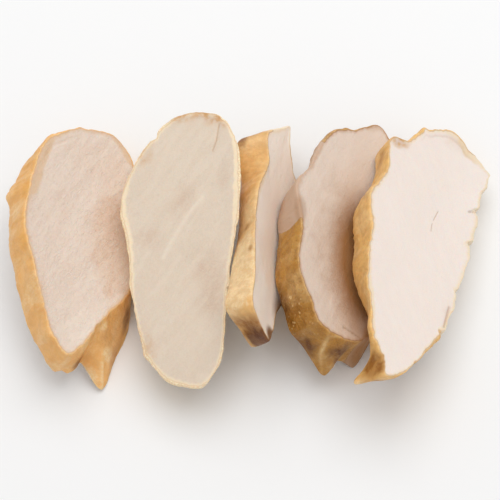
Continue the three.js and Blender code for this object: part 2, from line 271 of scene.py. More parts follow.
SLICE_3 = {
    "slot": "golden_skin", "place": (7.4, 0.4, 23.5), "lean": 62, "thickness": 10.5, "dish": 1,
    "twist": 3,
    "grow": {"under": 0, "far": 0, "skin": 0, "near": 0},
    "pulls": [
        Pull((-12, 3), (7.5, 0), 22), Pull((-3, 34), (-3.5, -1), 10), Pull((3, 46), (0, -1.5), 6),
        Pull((-10, -39), (1, 3), 9), Pull((-1, -38), (11, 4.5), 11),
    ],
    "outline": [
        (-3.8, -42.3), (0.8, -36), (4, -28), (11, -20), (19, -8), (21, 8), (16.5, 27), (12, 42),
        (11, 49.5), (4, 45.5), (-2.6, 40), (-2.8, 27.5), (-9, 15.2), (-13, 0), (-15.1, -23), (-18, -35.3),
    ],
    "tears": [Tear((11, 49.5), 0.8, 1.2), Tear((15.5, 30), 0.8, 1.2), Tear((14.5, 33), -0.5, 1.2)],
    "rear_tears": [Tear((19, -31), 1.5, 1.6)],
    "ragged": 0.3, "fibre_turn": 20,
    "spots": [
        Spot("pale", (-15, -20.5, 0.5), (14, 18.5, 14), 0.25),
        Spot("pale", (-9, 4, 0.5), (10, 15, 9), 1, 0.7), Spot("gold", (-6, 16, 0.5), (7, 18, 9), 1, 0.4),
        Spot("brown", (-9.8, -0.8, 0.42), (3, 2.2, 3.5), 0.9, 0.8),
        Spot("brown", (-13.4, -11.5, 0.1), (2.2, 2, 1.6), 0.8, 0.7),
        # The near end's brown and dark spots are partly browning and partly painted shade, since that end
        # faces away from the light
        Spot("brown", (-8, -42, 0.5), (14, 9, 14), 0.5), Spot("brown", (0, 41, 0.6), (6, 5, 5), 0.9, 0.8),
        Spot("dark", (-5, -43, 0.4), (11, 8, 12), 0.6), Spot("dark", (-4, 38, 0.9), (5, 6, 3), 0.8, 0.6),
        # Painted shade: the tip of the face at the near end, and the right of the face where slice 4
        # shades it
        Spot("shade", (-2, -39, 0.2), (5, 4.5, 7), 0.5), Spot("shade", (7, -29, 0), (8, 14, 9), 0.7),
        Spot("bare", (7, 46, 0.2), (8, 7, 8), 0.2), Spot("rind", (-6, 20, 0), (6, 20, 4), 1, 0.3),
    ],
    "lines": [
        Line("pale", (-15, -21, 0.02), (-17.8, -35, 0.02), 0.5, -0.1),
        Line("brown", (-4.5, 38.5, 0.9), (7, 47.5, 0.6), 1.6, 0),
    ],
    "colours": {
        "meat": (244, 228, 213), "flush": (224, 198, 178), "streak": (250, 238, 226),
        "rind": (240, 218, 186), "skin": (234, 186, 120), "skin_light": (246, 216, 168),
        # The shade colour is that of the painted shade; the dark colour, on the near end, is partly
        # painted shade
        "gold": (230, 176, 104), "brown": (160, 102, 36), "dark": (98, 50, 10), "shade": (122, 78, 38),
    },
    "finish": {
        "bands": 0.25, "fibres": 0.2, "specks": 0.1, "grain": 0.2, "relief": 0.7, "skin_relief": 0.4,
        "lip": 0.5, "mottle": 0.25, "outline": 0.6,
    },
}

SLICE_4 = {
    "slot": "cream_meat", "place": (29, 0.9, 22.5), "lean": 34, "thickness": 13.5, "dish": 1.8,
    "twist": 3,
    "grow": {"under": 0, "far": 0, "skin": 0, "near": 0},
    "pulls": [
        Pull((-9, 29), (6.5, -2), 13), Pull((-15, 14), (1.8, 0), 7), Pull((1, -38.4), (2.4, -7), 6),
        Pull((-10, -33), (-1.5, 0), 6), Pull((-6, -38), (0, 1.5), 4), Pull((18, -29), (1, -9), 8),
    ],
    "outline": [
        (-3.5, -38.8), (9, -38), (19, -28), (24, -12), (26, 8), (27, 28), (24.5, 42), (18, 49.6),
        (8, 45.6), (1, 43.2), (-4, 37.5), (-10, 25.5), (-16, 15.5), (-14.8, -1.4), (-17, -17.5),
        (-12.3, -29.5), (-9, -36.5),
    ],
    "tears": [Tear((8, 45.6), -0.6, 2), Tear((19, 49.5), 0.5, 3)],
    "rear_tears": [Tear((3, -45), 0.8, 2)],
    "ragged": 0.3, "fibre_turn": 25,
    "spots": [
        Spot("bare", (-14, 22, 0.5), (15, 22.6, 16), 0.05), Spot("bare", (17, -36, 0.5), (9, 8, 14), 0.4),
        # Painted shade: the underside at the near end, the face towards slice 5, where the flush spot also
        # darkens it, and the bare rim with a darker wedge
        Spot("shade", (17, -36, 0.5), (9, 9, 14), 0.6), Spot("shade", (22, -4, 0), (30, 42, 14), 1, 0.6),
        Spot("shade", (12.5, -8, 0), (17, 36, 14), 0.7), Spot("flush", (6, -8, 0), (19, 42, 9), 0.9),
        Spot("shade", (-14, 12, 0.9), (6, 14, 5), 1, 0.5),
        Spot("shade", (-14, 6, 0.05), (3, 7, 3), 0.5, 0.35),
        # These brown and dark spots are partly browning and partly painted shade: the lower left rim and
        # its edges beside slice 3, and the near facet
        Spot("brown", (-10, -32, 0.6), (10, 14, 12), 1, 0.7),
        Spot("dark", (-15, -28, 0.9), (5, 11, 6), 0.8, 0.85),
        Spot("dark", (-16, -8, 1), (4, 14, 3.5), 1, 0.7), Spot("dark", (4, -40.5, 0.4), (7, 4.5, 6), 0.8),
        Spot("dark", (-6, -40, 0.75), (6, 6, 6), 0.8, 0.8),
        Spot("gold", (-14.5, -6, 0.15), (3.5, 9, 4), 1, 0.5),
        Spot("gold", (-11, -27, 0.1), (4, 9, 3), 1, 0.4), Spot("tan", (15, 48.5, 0), (11, 3, 4), 0.7),
        # Glossy skin: smoother, and painted highlights as pale dots
        Spot("gloss", (-11, -28, 0.45), (9, 15, 9), 0.6),
    ],
    "lines": [
        Line("crack", (2.5, -34), (9.5, -35.8), 0.35, 0.4),
        Line("pale", (-3.6, -38.6, 0.05), (-1.6, -41.8, 0.62), 0.7, -0.45),
        Line("pale", (-1.6, -41.8, 0.62), (2.5, -45, 0.95), 0.6, -0.3),
        Line("pale", (-3, -38.8, 0.03), (9, -37.6, 0.03), 0.5, -0.25),
        Line("pale", (9.5, -37.6, 0.1), (5, -44, 0.95), 0.6, -0.3),
    ],
    "colours": {
        # The flush colour is dark for the painted shade towards slice 5, the shade colour is that of the
        # painted shade, and rind is partly darkened as painted shade on the bare rim
        "meat": (222, 203, 188), "flush": (188, 156, 133), "streak": (232, 217, 203),
        "rind": (200, 166, 138), "skin": (184, 132, 58), "skin_light": (234, 200, 144),
        "gold": (200, 144, 58), "brown": (146, 94, 28), "dark": (100, 54, 8), "shade": (156, 106, 56),
    },
    "finish": {
        "bands": 0.25, "fibres": 0.25, "specks": 0.15, "grain": 0.25, "relief": 0.8, "skin_relief": 1.2,
        "lip": 0.5, "mottle": 0.45, "outline": 0.6,
    },
}

SLICE_5 = {
    "slot": "pale_meat", "place": (58.9, -4.6, 22), "lean": 26, "thickness": 12.5, "dish": 0.6,
    "grow": {"under": 0, "far": 0, "skin": 0, "near": -4},
    "pulls": [
        Pull((-22.5, -26), (7, 0), 13), Pull((-21.5, -36), (4, 0), 6), Pull((-18, -47.8), (-6, -1), 5),
        Pull((-6, -47), (-1, 3), 5), Pull((-13, 35), (1.6, 0), 8), Pull((-20, 18), (1.6, 0), 6),
    ],
    "outline": [
        (-17.5, -50.8), (-10, -48.7), (-4.5, -42.3), (4.8, -31), (10.7, -17.5), (17, -1), (24.5, 27),
        (28.2, 37.5), (21.8, 45), (13.5, 51.8), (2.5, 49), (-5, 43.5), (-11.8, 42), (-14, 28.5),
        (-20.8, 17.5), (-21, 5), (-23.3, -14), (-22.8, -27), (-21.8, -37.5), (-18.4, -44.6),
    ],
    "tears": [
        Tear((2.8, 49.2), 1.2, 1), Tear((-6, 44), -0.5, 1.8), Tear((-10, 42.5), 0.4, 1.5),
        Tear((20, 46.5), -0.4, 2), Tear((28.2, 37.5), 0.9, 1.2), Tear((25.5, 29), -0.5, 1.2),
        Tear((22.8, 20.5), -1.6, 1.2), Tear((21.5, 15.5), 0.5, 2), Tear((19, 6.5), -2, 1.4),
        Tear((17.2, 1), 0.6, 1.6), Tear((12, -13.8), -1, 1.2), Tear((9.5, -20), 0.9, 2.5),
        Tear((5, -30.5), -1, 1.1), Tear((-4, -41.5), 0.4, 2.5),
    ],
    "rear_tears": [Tear((-22, -49), 1.2, 1.5)],
    "ragged": 0.5, "fibre_turn": -20,
    "spots": [
        Spot("bare", (13, -20, 0.4), (12, 25, 14), 0.2), Spot("bare", (25, 16, 0.4), (12, 34, 14), 0.2),
        Spot("pale", (20, 30, 0), (14, 22, 6), 1, 0.4), Spot("flush", (7, -24, 0), (3, 8, 6), 1, 0.5),
        Spot("tan", (-8, 41.5, 0), (5.5, 4, 4), 0.9), Spot("tan", (19, 47, 0), (11, 5, 4), 1, 0.3),
        Spot("brown", (-18, -45.5, 0.35), (8, 6.5, 8), 0.6),
        Spot("pale", (-21.5, -51, 0.9), (8, 4, 6), 0.7),
        Spot("brown", (-20.5, -34, 0.8), (5, 10, 6), 0.9, 0.6),
        Spot("brown", (-12.5, 37, 0.5), (4, 6, 5), 0.8, 0.5),
        Spot("gold", (-21, 14, 0.3), (4, 8, 6), 1, 0.5), Spot("gold", (-19, -49, 0.8), (7, 4, 6), 1),
        Spot("rind", (19, 45, 0), (12, 9, 5), 1, 0.6), Spot("rind", (-21, -25, 0), (4, 22, 4), 1, 0.3),
    ],
    "lines": [
        Line("crack", (23, 20.5), (18.5, 20), 0.35, 0.4), Line("crack", (6.2, 17), (4.2, 13), 0.2, 0.12),
        Line("crack", (3.6, 11.5), (3, 8.5), 0.2, 0.12), Line("crack", (8, -20), (5.5, -28), 0.45, 0.35),
    ],
    "seams": [Seam(2.4, (14, 46), (16, 8), 0.6, 0.1)],
    "colours": {
        "meat": (237, 223, 213), "flush": (226, 203, 188), "streak": (244, 234, 225),
        "rind": (236, 216, 184), "skin": (243, 192, 114), "skin_light": (240, 208, 158),
        "gold": (228, 182, 118), "brown": (156, 100, 38),
    },
    "finish": {
        "bands": 0.15, "fibres": 0.15, "specks": 0.06, "grain": 0.12, "relief": 0.5, "skin_relief": 0.5,
        "lip": 0.3, "mottle": 0.3, "outline": 0.4,
    },
}

# What a slice has unless it says otherwise
PLAIN = {
    "pitch": 0, "sag": 0, "twist": 0, "pulls": [], "rear_tears": [], "lines": [], "seams": [],
}
SLICES = [{**PLAIN, **piece} for piece in (SLICE_1, SLICE_2, SLICE_3, SLICE_4, SLICE_5)]
MASKS = ["flush", "pale", "brown", "dark", "shade", "gloss", "gold", "tan", "rind", "bare", "crack"]
SMOOTH_SPOTS = ["bare", "shade"]  # spots whose outline is even


def colour_field(name, description, *shown):
    """A colour that a user may change, with its default as a display shows it."""
    return bpy.props.FloatVectorProperty(
        name=name, description=description, subtype="COLOR", default=srgb(*shown))


def height_field(name, description, height):
    """A small height that a user may change, in metres."""
    return bpy.props.FloatProperty(
        name=name, description=description, default=height, min=0, unit="LENGTH", precision=5)


class SliceLook(bpy.types.PropertyGroup):
    """Colours of one slice."""

    meat: colour_field("Meat", "Main colour of the cut face", 225, 206, 189)
    # The flush colour is partly the meat's pinker or browner tone and partly painted shade, in the hollow
    # of slice 1 and towards slice 5 on slice 4
    flush: colour_field("Flush", "Pinker or browner parts of the cut face", 209, 178, 156)
    streak: colour_field("Streak", "Pale fibres and fat", 236, 222, 206)
    rind: colour_field("Rind", "Smoked meat just under the skin", 230, 204, 168)
    skin: colour_field("Skin", "Main colour of the smoked skin", 222, 172, 108)
    # The light skin colour also paints the highlight dots on glossy skin
    skin_light: colour_field("Light skin", "Patches where the skin took less smoke", 234, 200, 148)
    gold: colour_field("Golden skin", "Golden patches of the skin and the crust", 228, 168, 88)
    # Browned and darkest skin are partly the skin's own browning and partly painted shade, on near ends,
    # folds and edges that lie in shadow
    brown: colour_field("Browned skin", "Skin that took more heat", 172, 120, 62)
    dark: colour_field("Darkest skin", "Ends and folds that took most heat", 116, 70, 28)
    # Painted shade: brown laid over meat and skin where the slices shade each other and where their near
    # ends and undersides lie in shadow
    shade: colour_field("Painted shade", "Painted shade where the slices and their ends lie in shadow", 150, 108, 70)


class ReliefSettings(bpy.types.PropertyGroup):
    """Heights of the fine relief."""

    ragged: bpy.props.FloatProperty(
        name="Ragged edge", description="Unevenness of the cut edges, as a share of each slice's own",
        default=1, min=0, subtype="FACTOR")
    fibre: height_field("Fibres", "Height of the fibres on the cut faces", 0.00005)
    grain: height_field("Grain", "Height of the even grain of the cut faces", 0.00006)
    wrinkle: height_field("Wrinkles", "Depth of the wrinkles of the skin", 0.00035)
    pimple: height_field("Pimples", "Height of the pimples of the skin", 0.00012)
    lip: height_field("Lip", "How far the cut edge of the skin stands over the face", 0.00018)


class StudioSettings(bpy.types.PropertyGroup):
    """Camera, floor and light."""

    elevation: bpy.props.FloatProperty(
        name="Camera elevation", description="Height of the camera above the horizon",
        default=math.radians(60), unit="ROTATION")
    distance: bpy.props.FloatProperty(
        name="Camera distance", description="From the camera to the middle of the row", default=0.65,
        min=0.1, unit="LENGTH")
    lens: bpy.props.FloatProperty(
        name="Lens", description="Focal length of the camera, in millimetres", default=137.6, min=10)
    aim: bpy.props.FloatVectorProperty(
        name="Aim", description="Where the camera looks, from under the middle of the row",
        subtype="TRANSLATION", unit="LENGTH", default=(-0.000504, 0.002376, 0.014))
    key: bpy.props.FloatProperty(
        name="Key light", description="Power of the large light above the far side", default=7.6, min=0,
        unit="POWER")
    sky: bpy.props.FloatProperty(
        name="Sky", description="Strength of the even light from all round", default=0.65, min=0)
    floor: bpy.props.FloatVectorProperty(
        name="Floor", description="Colour of the floor", subtype="COLOR", default=(0.9, 0.9, 0.9))


class ChickenSettings(bpy.types.PropertyGroup):
    """Everything a user may change."""

    relief: bpy.props.PointerProperty(type=ReliefSettings)
    studio: bpy.props.PointerProperty(type=StudioSettings)
    looks: bpy.props.CollectionProperty(type=SliceLook)


# Shapes


def lattice_noise(points, size, seed):
    """Smooth random values from -1 to 1: random numbers at the corners of cubes of that size, with each
    point's value blended from the eight corners round it by the eased share t*t*(3 - 2t) on each axis."""
    numbers = np.random.default_rng(seed).uniform(-1, 1, (LATTICE,) * 3)
    cells = points / np.asarray(size, float)
    low = np.floor(cells).astype(int)
    part = cells - low
    part = part * part * (3 - 2 * part)
    total = np.zeros(points.shape[:-1])
    for corner in product((0, 1), repeat=3):
        weight = np.prod(np.where(corner, part, 1 - part), axis=-1)
        i, j, k = np.moveaxis((low + corner) % LATTICE, -1, 0)
        total += weight * numbers[i, j, k]
    return total


def closed_curve(corners, count):
    """Evenly spaced points on one smooth closed curve through the corners. Between two corners the curve
    is the cubic that leaves and arrives in the centripetal Catmull-Rom directions, whose corner spacings
    are the square roots of the distances. The spacing is then made even by length along the curve."""
    here = np.asarray(corners, float)
    before, after, beyond = np.roll(here, 1, 0), np.roll(here, -1, 0), np.roll(here, -2, 0)
    first, middle, last = (
        np.sqrt(np.linalg.norm(b - a, axis=1))[:, None]
        for a, b in ((before, here), (here, after), (after, beyond))
    )
    into, over, away = (here - before) / first, (after - here) / middle, (beyond - after) / last
    leave = middle * (into - (after - before) / (first + middle) + over)
    arrive = middle * (over - (beyond - here) / (middle + last) + away)
    t = (np.arange(SPLINE_STEPS) / SPLINE_STEPS)[None, :, None]
    here, after, leave, arrive = (v[:, None] for v in (here, after, leave, arrive))
    squared = -3 * here + 3 * after - 2 * leave - arrive
    cubed = 2 * here - 2 * after + leave + arrive
    curve = (here + leave * t + squared * t**2 + cubed * t**3).reshape(-1, 2)
    closed = np.vstack([curve, curve[:1]])
    length = np.concatenate([[0], np.cumsum(np.linalg.norm(np.diff(closed, axis=0), axis=1))])
    even = np.linspace(0, length[-1], count, endpoint=False)
    return np.column_stack([np.interp(even, length, closed[:, k]) for k in (0, 1)])


def smoothed(values, reach):
    """Values round a slice smoothed with a bell curve that reaches over that share of the whole edge."""
    waves = np.fft.fftfreq(len(values), 1 / len(values))
    bell = np.exp(-0.5 * (2 * np.pi * waves * reach) ** 2)
    return np.real(np.fft.ifft(np.fft.fft(values, axis=0) * bell[:, None], axis=0))


def outward_directions(edge):
    """Which way is out of the slice at each point of its edge: the edge's own direction turned by a
    quarter, smoothed and made one long."""
    step = np.roll(edge, -1, 0) - np.roll(edge, 1, 0)
    out = np.column_stack([step[:, 1], -step[:, 0]])
    out = smoothed(out / np.linalg.norm(out, axis=1)[:, None], OUTWARD_REACH)
    return out / np.linalg.norm(out, axis=1)[:, None]


def grown_edge(piece, edge, out):
    """The front edge grown by the square of how much it faces each side."""
    grow = piece["grow"]
    facing = np.maximum(np.column_stack([out, -out]), 0) ** 2
    amounts = np.array([grow["under"], grow["far"], grow["skin"], grow["near"]])
    return edge + out * (facing @ amounts)[:, None]


def pulled(piece, flat):
    """Points of the rear drawn out by each pull, which fades as exp(-(distance / width) squared)."""
    moved = flat.copy()
    for pull in piece["pulls"]:
        away = np.linalg.norm(flat - pull.at, axis=-1) / pull.width
        moved += np.exp(-(away**2))[..., None] * np.array(pull.by)
    return moved


def torn(edge, out, tears, ragged, seed):
    """The edge moved outwards by each tear, as out * exp(-(distance / width) squared), and by random
    unevenness of the two ragged sizes."""
    move = np.zeros(len(edge))
    for tear in tears:
        away = np.linalg.norm(edge - tear.at, axis=1) / tear.width
        move += tear.out * np.exp(-(away**2))
    flat = np.column_stack([edge, np.zeros(len(edge))])
    for number, (size, share) in enumerate(RAGGED_SIZES):
        move += ragged * share * lattice_noise(flat, size, seed + number)
    return edge + out * move[:, None]


def bend(piece, across, along):
    """Depth added to the whole slab: its ends droop with the square of along, and its far end turns
    against its near end with across times along."""
    share = along / HALF_LENGTH
    return piece["twist"] * across / HALF_WIDTH * share - piece["sag"] * share**2


def face_rings(piece, which, edge, shares, depth, move=lambda flat: flat):
    """Rings of a cut face: each is the softened edge drawn in to a share of its distance from the
    middle, plus the edge's own corners by the share to the power FACE_FADE, moved, at a depth, with
    waves sin(across) * cos(along) that fade as one minus the share squared."""
    soft, middle, share = smoothed(edge, FACE_REACH), edge.mean(0), shares[:, None, None]
    flat = move(middle + (soft - middle) * share + (edge - soft) * share**FACE_FADE)
    across, along = flat[..., 0], flat[..., 1]
    height, reach_across, reach_along = FACE_WAVE
    wave = np.sin(across / reach_across + 2 * which) * np.cos(along / reach_along + which)
    fade = (1 - shares**2)[:, None]
    return np.dstack([flat, depth[:, None] + height * wave * fade + bend(piece, across, along)])


def rim_profile(angle):
    """How far down the rim an angle from 0 to pi lies, as a share of the thickness, and how far out it
    reaches: the share is a squared-off cosine and the reach a filled-out sine."""
    cosine = np.cos(angle)
    share = (1 - np.sign(cosine) * np.abs(cosine) ** RIM_SQUARENESS) / 2
    return share, np.sin(angle) ** RIM_FULLNESS


def rim_angles(thickness):
    """Angles of the rim's rings, spaced evenly by the length of the rim's profile."""
    angle = np.linspace(0, np.pi, PROFILE_STEPS)
    share, reach = rim_profile(angle)
    steps = np.hypot(np.diff(share) * thickness, np.diff(reach) * EDGE_RADIUS)
    length = np.concatenate([[0], np.cumsum(steps)])
    return np.interp(np.linspace(0, length[-1], RIM_RINGS + 2)[1:-1], length, angle)


def slab_rings(piece, which, ragged):
    """The plain slice as rings of points, its outward directions and the angle of each ring: 0 on the
    front face, 0 to pi over the rim, pi on the rear face."""
    front = closed_curve(piece["outline"], AROUND)
    out = outward_directions(front)
    grown = grown_edge(piece, front, out)
    rear = pulled(piece, grown)
    if ragged:
        front = torn(front, out, piece["tears"], ragged * piece["ragged"], 10 * which)
        rear = torn(rear, out, piece["rear_tears"], ragged * piece["ragged"], 10 * which + 5)
    thickness = piece["thickness"]
    shares = np.linspace(0, 1, FACE_RINGS + 1)[1:]
    top = face_rings(
        piece, which, front - out * EDGE_RADIUS, shares, -piece["dish"] * (1 - shares**2))
    angle = rim_angles(thickness)
    share, reach = (v[:, None] for v in rim_profile(angle))
    turn = np.arange(AROUND) / AROUND * 2 * np.pi
    wave = sum(height * np.sin(turns * turn + lag * which) for height, turns, lag in RIM_WAVES)
    stand = EDGE_RADIUS * (reach - 1) + wave * reach
    flat = front + (rear - front) * (share**RIM_LAG)[..., None] + out * stand[..., None]
    depth = -thickness * share + bend(piece, flat[..., 0], flat[..., 1])
    rim = np.dstack([flat, depth])
    shares = np.linspace(1, 0, REAR_RINGS + 1)[:-1]
    bottom = face_rings(
        piece, which, grown - out * EDGE_RADIUS, shares, np.full(REAR_RINGS, -thickness),
        lambda flat: pulled(piece, flat))
    angles = np.concatenate([np.zeros(FACE_RINGS), angle, np.full(REAR_RINGS, np.pi)])
    return np.concatenate([top, rim, bottom]), out, angles


def length_from(rings, start, step):
    """Length along the rings' own grid lines from ring start, going up or down the rings."""
    way = rings[start::step]
    steps = np.linalg.norm(np.diff(way, axis=0), axis=-1)
    return np.concatenate([np.zeros((1, AROUND)), np.cumsum(steps, axis=0)])


def rim_distance(rings):
    """How far each point lies past the nearest cut edge in millimetres, measured over the surface: above
    0 on the rim, below 0 on the cut faces."""
    first, last = FACE_RINGS - 1, len(rings) - REAR_RINGS
    distance = np.zeros(rings.shape[:2])
    distance[: first + 1] = -length_from(rings, first, -1)[::-1]
    over = length_from(rings, first, 1)[: last - first + 1]
    distance[first : last + 1] = np.minimum(over, over[-1] - over)
    distance[last:] = -length_from(rings, last, 1)
    return distance


def spread(piece, what, points, wobble):
    """How much of one thing each point has, from 0 to 1. A spot is full at the middle of its ellipsoid
    and fades, eased, over the soft share of its radius, with an uneven outline."""
    total = np.zeros(points.shape[:-1])
    for spot in (s for s in piece["spots"] if s.what == what):
        centre = np.array([spot.at[0], spot.at[1], -spot.at[2] * piece["thickness"]])
        away = np.linalg.norm((points - centre) / np.array(spot.size), axis=-1) + wobble
        part = np.clip((1 - away) / spot.soft, 0, 1)
        total += spot.amount * part * part * (3 - 2 * part)
    return np.clip(total, 0, 1)


def line_distance(piece, points, line):
    """Distance of each point from a straight line between its two ends. Ends of two values lie on the
    front face, and a third value is an end's share of the depth."""
    count = len(line.start)
    scale = np.array([1, 1, -piece["thickness"]])[:count]
    start, end = np.array(line.start) * scale, np.array(line.end) * scale
    along = end - start
    offset = points[..., :count] - start
    share = np.clip((offset @ along) / (along @ along), 0, 1)
    return np.linalg.norm(offset - share[..., None] * along, axis=-1)


def along_fibres(piece, points):
    """Positions measured across, along and through the fibres, which are turned about the depth."""
    turn = math.radians(piece["fibre_turn"])
    across, along, depth = np.moveaxis(points, -1, 0)
    return np.dstack([
        across * math.cos(turn) - along * math.sin(turn),
        across * math.sin(turn) + along * math.cos(turn),
        depth,
    ])


def relief(piece, which, rings, out, angles, distance, masks, settings):
    """The slice with its fine relief; cracks, ridges and seams are added to the masks as well. Points of
    the cut faces move along the depth, points of the rim outwards, and points between them both, by the
    sine and cosine of their ring's angle."""
    seed, finish = 100 * which, piece["finish"]
    on_front = (angles == 0)[:, None]
    sine, cosine = np.sin(angles)[:, None], np.cos(angles)[:, None]
    wobble = WANDER * lattice_noise(rings, WANDER_SIZE, seed + 1)
    fibre = along_fibres(piece, rings)
    fibre[..., 0] += wobble
    bundles = BUNDLE_HEIGHT * lattice_noise(fibre, BUNDLE_SIZE, seed + 3)
    face = lattice_noise(fibre, FIBRE_SIZE, seed + 2) + bundles
    face = settings.fibre * face + settings.grain * lattice_noise(rings, GRAIN_SIZE, seed + 7)
    face *= finish["relief"] / MM * np.clip(-distance / FACE_CALM, 0, 1)
    folds = 1 - 2 * np.abs(lattice_noise(rings, WRINKLE_SIZE, seed + 4))
    pimples = np.maximum(lattice_noise(rings, PIMPLE_SIZE, seed + 5), 0)
    skin = (settings.wrinkle * folds + settings.pimple * pimples) / MM
    skin *= finish["skin_relief"] * np.clip(distance / SKIN_CALM, 0, 1)
    skin *= 1 - BARE_CALM * masks["bare"]
    lip = settings.lip / MM * finish["lip"] * np.exp(-((distance / LIP_WIDTH) ** 2))
    lip *= np.maximum(cosine, 0)
    cut, swell = np.zeros(distance.shape), np.zeros(distance.shape)
    for line in piece["lines"]:
        dent = np.exp(-((line_distance(piece, rings, line) / line.wide) ** 2))
        if len(line.start) == 2:
            dent = dent * on_front
            cut += line.deep * dent
        else:
            swell -= line.deep * dent
        masks[line.what] = np.maximum(masks[line.what], dent)
    for seam in piece["seams"]:
        away = np.linalg.norm((rings[..., :2] - seam.at) / np.array(seam.size), axis=-1)
        dent = np.exp(-(((-distance - seam.inset + wobble * SEAM_WANDER) / seam.wide) ** 2)) * on_front
        dent = dent * np.clip(2 * (1 - away), 0, 1)
        cut += seam.deep * dent
        masks["crack"] = np.maximum(masks["crack"], SEAM_COLOUR * dent)
    height = face + skin * sine
    outwards = height * sine + swell
    return rings + np.dstack([out[:, 0] * outwards, out[:, 1] * outwards, height * cosine + lip - cut])


def lean_matrix(piece):
    """Turns a slice's own directions into the row's."""
    lean = Matrix.Rotation(math.radians(piece["lean"]), 3, "Y")
    pitch = Matrix.Rotation(math.radians(piece["pitch"]), 3, "X")
    return np.array(lean @ pitch)


def stand_in_row(piece, points):
    """Points of a slice where it stands in the row, in millimetres. What would come lower than the
    settling height h is squeezed towards the resting plane, as h * exp((z - h) / h)."""
    placed = points @ lean_matrix(piece).T + np.array(piece["place"])
    height = placed[..., 2]
    low = SETTLE_HEIGHT * np.exp(np.minimum(height - SETTLE_HEIGHT, 0) / SETTLE_HEIGHT)
    placed[..., 2] = np.where(height < SETTLE_HEIGHT, low, height)
    return placed


def closed(values):
    """Values of all rings in the mesh's order: the middle of the front face, ring after ring, the middle
    of the rear face. A middle takes the mean of the ring next to it."""
    flat = values.reshape(-1, *values.shape[2:])
    return np.concatenate([values[:1].mean(1), flat, values[-1:].mean(1)])


def ring_faces(rings):
    """Faces between the rings as four corners each, and a fan of three-cornered ones round each middle."""
    here = np.arange(AROUND)
    after = (here + 1) % AROUND
    start = 1 + AROUND * np.arange(rings - 1)[:, None]
    near_side = np.stack([start + here, start + AROUND + here], -1)
    far_side = np.stack([start + AROUND + after, start + after], -1)
    squares = np.concatenate([near_side, far_side], -1).reshape(-1, 4)
    last = 1 + AROUND * (rings - 1)
    front = np.column_stack([np.zeros(AROUND, int), 1 + here, 1 + after])
    rear = np.column_stack([last + here, np.full(AROUND, last + AROUND), last + after])
    return squares.tolist() + front.tolist() + rear.tolist()


def make_slice(number, settings):
    """Mesh object of one slice, with its masks as attributes of its points."""
    piece = SLICES[number - 1]
    plain, _, _ = slab_rings(piece, number, 0)
    rings, out, angles = slab_rings(piece, number, settings.ragged)
    distance = rim_distance(rings)
    wobble = SPOT_WOBBLE * lattice_noise(rings, SPOT_WOBBLE_SIZE, 100 * number + 6)
    uneven = {what: 0 if what in SMOOTH_SPOTS else wobble for what in MASKS}
    masks = {what: spread(piece, what, rings, uneven[what]) for what in MASKS}
    moved = relief(piece, number, rings, out, angles, distance, masks, settings)
    masks["rim"] = distance - masks.pop("bare") * (np.maximum(distance, 0) + BARE_MARGIN)
    masks["rind"] = distance + RIND_REACH * masks["rind"]

    box = np.array(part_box(f"slice_{number}")) / MM
    placed = stand_in_row(piece, plain).reshape(-1, 3)
    points = stand_in_row(piece, moved) + box.mean(0) - (placed.min(0) + placed.max(0)) / 2
    points[..., 2] = np.maximum(points[..., 2], 0)

    mesh = bpy.data.meshes.new(f"slice_{number}_dressed")
    mesh.from_pydata((closed(points) * MM).tolist(), [], ring_faces(len(rings)))
    mesh.shade_smooth()
    for name, values in masks.items():
        layer = mesh.attributes.new(name, "FLOAT", "POINT")
        layer.data.foreach_set("value", closed(values).astype(np.float32))
    layer = mesh.attributes.new("cut", "FLOAT_VECTOR", "POINT")
    layer.data.foreach_set("vector", closed(rings).astype(np.float32).ravel())
    mesh.validate()
    thing = bpy.data.objects.new(mesh.name, mesh)
    bpy.context.scene.collection.objects.link(thing)
    return thing


# Finishes


def add_node(tree, kind, inputs=None, **settings):
    """Adds a node, applies its settings, and links or sets each input by its name or number."""
    node = tree.nodes.new(kind)
    for key, value in settings.items():
        setattr(node, key, value)
    for key, value in (inputs or {}).items():
        if isinstance(value, bpy.types.NodeSocket):
            tree.links.new(value, node.inputs[key])
        else:
            node.inputs[key].default_value = value
    return node


def calculate(tree, operation, *values):
    """One step of arithmetic on values."""
    return add_node(tree, "ShaderNodeMath", dict(enumerate(values)), operation=operation).outputs[0]


def product_of(tree, *values):
    """All the values multiplied with each other."""
    total = values[0]
    for value in values[1:]:
        total = calculate(tree, "MULTIPLY", total, value)
    return total


def between(tree, value, low, high):
    """0 where the value is below low, 1 where it is above high, eased between."""
    inputs = {0: value, 1: low, 2: high}
    return add_node(tree, "ShaderNodeMapRange", inputs, interpolation_type="SMOOTHSTEP").outputs[0]


def opaque(colour):
    """A colour with its fourth value."""
    return (*colour, 1)


def blend(tree, factor, first, second):
    """First colour where the factor is 0, second where it is 1."""
    node = add_node(tree, "ShaderNodeMix", {0: factor, 6: first, 7: second}, data_type="RGBA")
    return node.outputs[2]


def layered(tree, colour, *layers):
    """A colour with others laid over it one after the other, each by the product of its factors."""
    for over, *factors in layers:
        colour = blend(tree, product_of(tree, *factors), colour, opaque(over))
    return colour


def noise(tree, position, size, detail, distortion):
    """Noise from 0 to 1 with lumps of about that size in millimetres, one for all axes or three."""
    if isinstance(size, tuple):
        inputs = {0: position, 1: tuple(1 / v for v in size)}
        position = add_node(tree, "ShaderNodeVectorMath", inputs, operation="MULTIPLY").outputs[0]
        size = 1
    inputs = {"Vector": position, "Scale": 1 / size, "Detail": detail, "Distortion": distortion}
    return add_node(tree, "ShaderNodeTexNoise", inputs).outputs[0]


def eased_noises(tree, position, *names):
    """Some of the NOISES, each eased between its two values."""
    for size, detail, distortion, low, high in (NOISES[name] for name in names):
        yield between(tree, noise(tree, position, size, detail, distortion), low, high)


